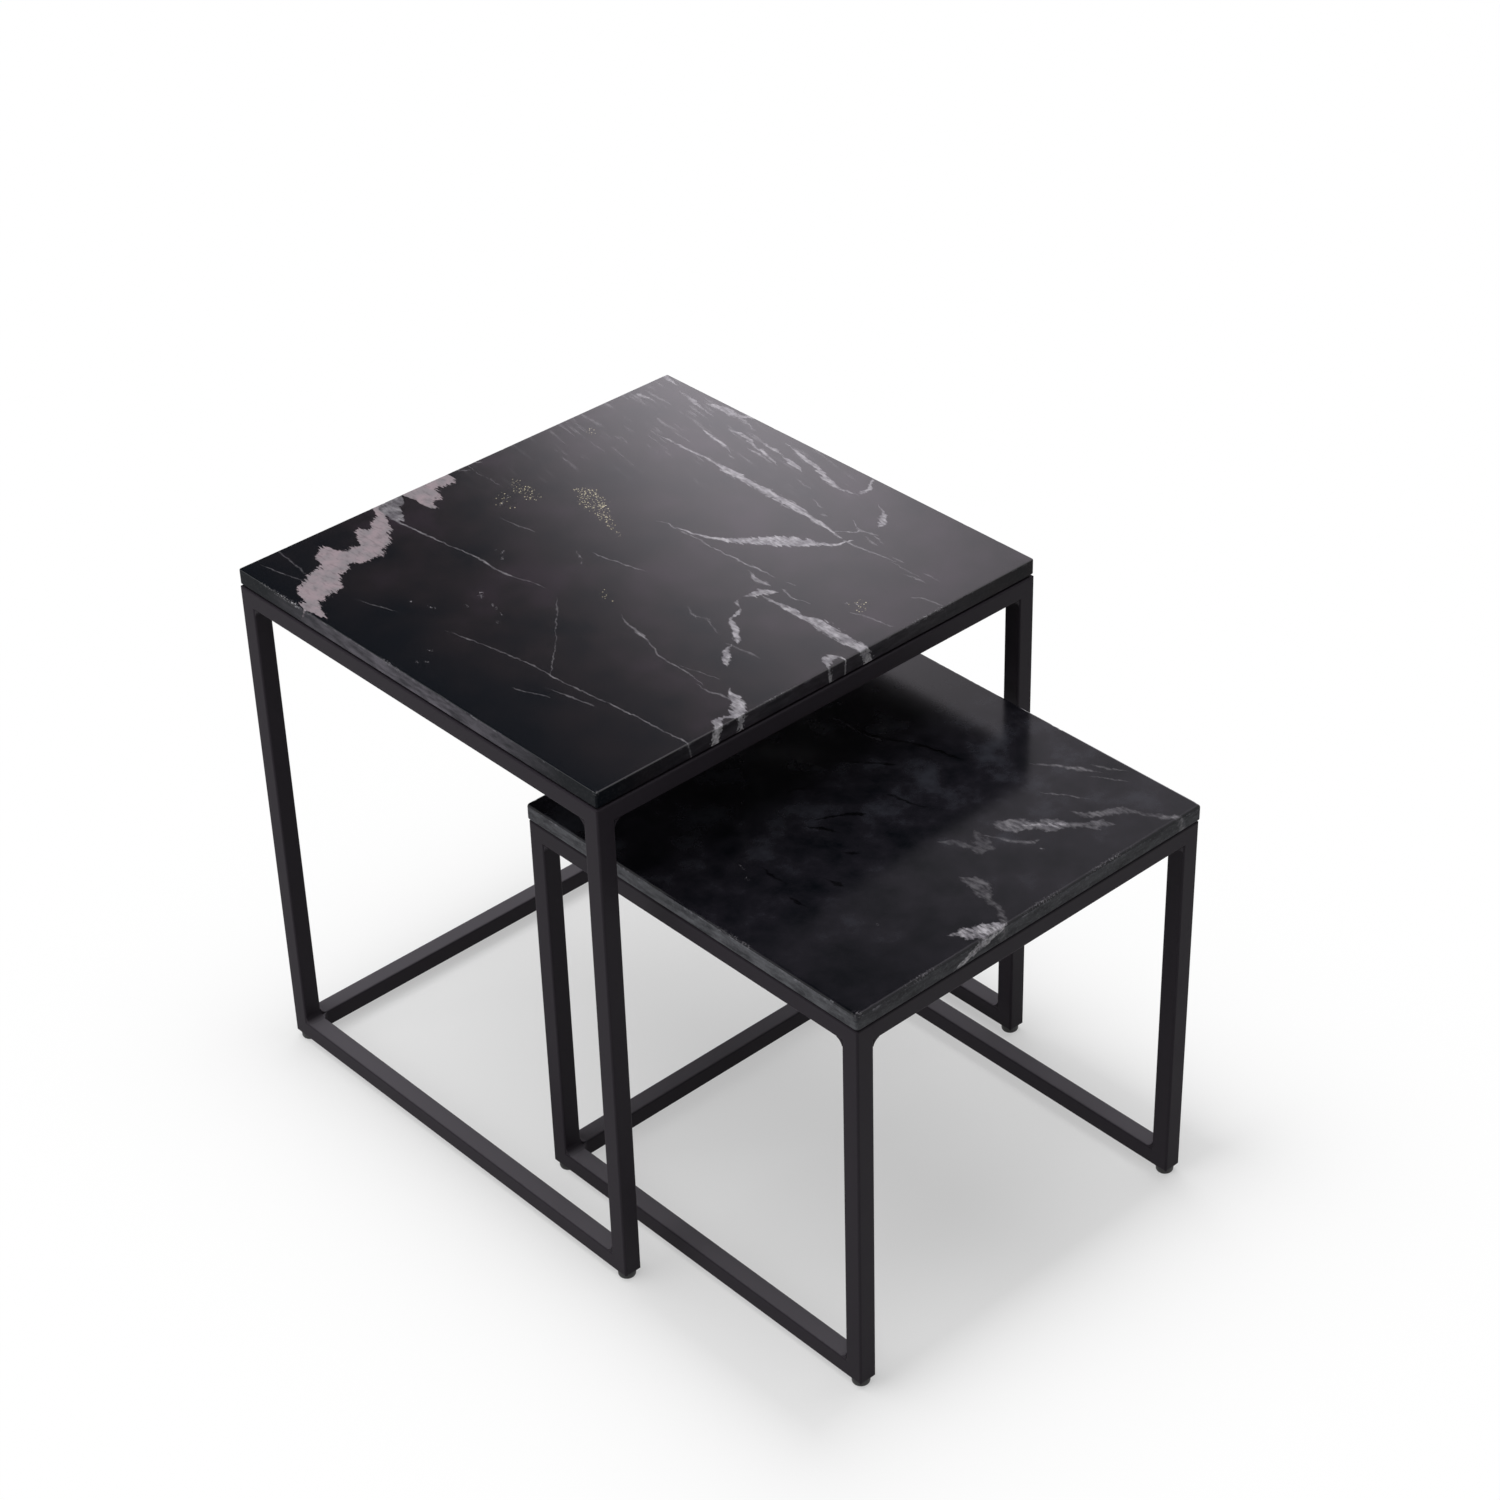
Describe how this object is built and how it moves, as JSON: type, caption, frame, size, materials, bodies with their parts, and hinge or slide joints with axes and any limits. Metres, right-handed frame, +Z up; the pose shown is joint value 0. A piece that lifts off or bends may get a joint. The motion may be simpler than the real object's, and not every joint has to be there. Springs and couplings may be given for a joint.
{
  "type": "nesting tables",
  "caption": "Large and small square side tables with dark veined marble slabs on welded square-tube frames; the small one slides in under the large one.",
  "frame": {"origin": "on the floor, at the middle of the pair's footprint with the small table part of the way out as in the picture", "axes": "+Z up, -Y the open front that the small table pulls out of, +X to the right of someone facing that front"},
  "size_m": [0.501, 0.717, 0.523],
  "materials": {
    "large_marble": "honed black marble with white veins",
    "small_marble": "honed black marble with white veins",
    "frame": "satin black powder coat on welded steel tube",
    "glide": "moulded black plastic",
    "pad": "black silicone"
  },
  "bodies": {
    "large_table": {"large_marble_top": "large_marble", "large_left_front_leg": "frame", "large_left_back_leg": "frame", "large_right_front_leg": "frame", "large_right_back_leg": "frame", "large_left_top_rail": "frame", "large_right_top_rail": "frame", "large_left_floor_rail": "frame", "large_right_floor_rail": "frame", "large_front_top_rail": "frame", "large_back_top_rail": "frame", "large_back_floor_rail": "frame", "large_weld_beads": "frame", "large_glides": "glide", "large_top_pads": "pad"},
    "small_table": {"small_marble_top": "small_marble", "small_left_front_leg": "frame", "small_left_back_leg": "frame", "small_right_front_leg": "frame", "small_right_back_leg": "frame", "small_left_top_rail": "frame", "small_right_top_rail": "frame", "small_left_floor_rail": "frame", "small_right_floor_rail": "frame", "small_front_top_rail": "frame", "small_back_top_rail": "frame", "small_back_floor_rail": "frame", "small_weld_beads": "frame", "small_glides": "glide", "small_top_pads": "pad"}
  },
  "joints": [
    {"name": "nest_slide", "type": "slide", "parent": "large_table", "child": "small_table", "axis": [0, -1, 0], "range_m": [-0.296, 0.18]}
  ]
}
